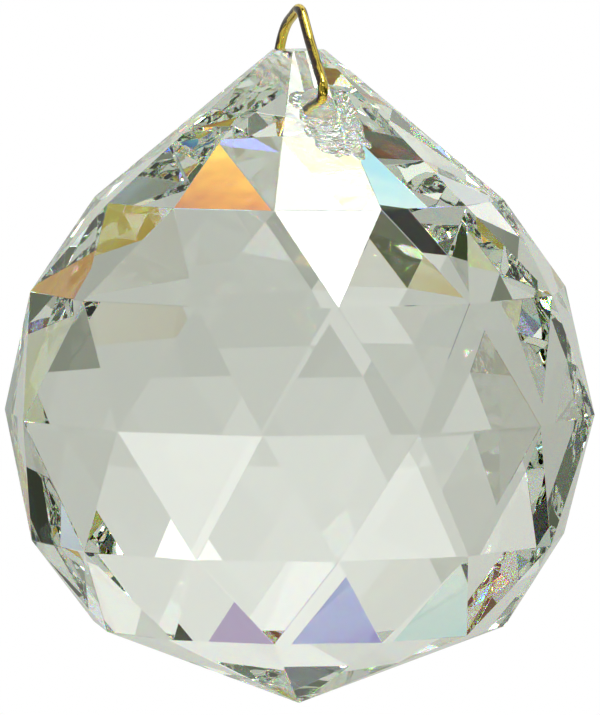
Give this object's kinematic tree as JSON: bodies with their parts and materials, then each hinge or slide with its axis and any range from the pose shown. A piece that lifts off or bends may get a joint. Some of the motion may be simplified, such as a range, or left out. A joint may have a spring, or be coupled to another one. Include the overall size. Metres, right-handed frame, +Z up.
{
  "type": "crystal suncatcher",
  "caption": "Clear cut-crystal faceted ball with a conical crown, hung from a bent brass wire loop through its drilled neck.",
  "frame": {"origin": "the inside of the top of the wire loop, where a thread bears", "axes": "+Z up along the ball's axis, Y along the drilled hole, with the straighter leg of the loop on the -Y side"},
  "size_m": [0.0394, 0.0394, 0.0472],
  "materials": {
    "crystal": "clear colourless cut crystal with polished facets, and a ground grey-white bore through the neck",
    "brass_wire": "drawn brass wire, bright yellow with brown tarnish in patches"
  },
  "bodies": {
    "loop": {"brass_loop": "brass_wire"},
    "crystal": {"crystal_ball": "crystal"}
  },
  "joints": [
    {"name": "loop_swing", "type": "hinge", "parent": "loop", "child": "crystal", "pos_m": [0, 0, -0.00583], "axis": [0, 1, 0], "range_deg": [-70, 70]}
  ]
}
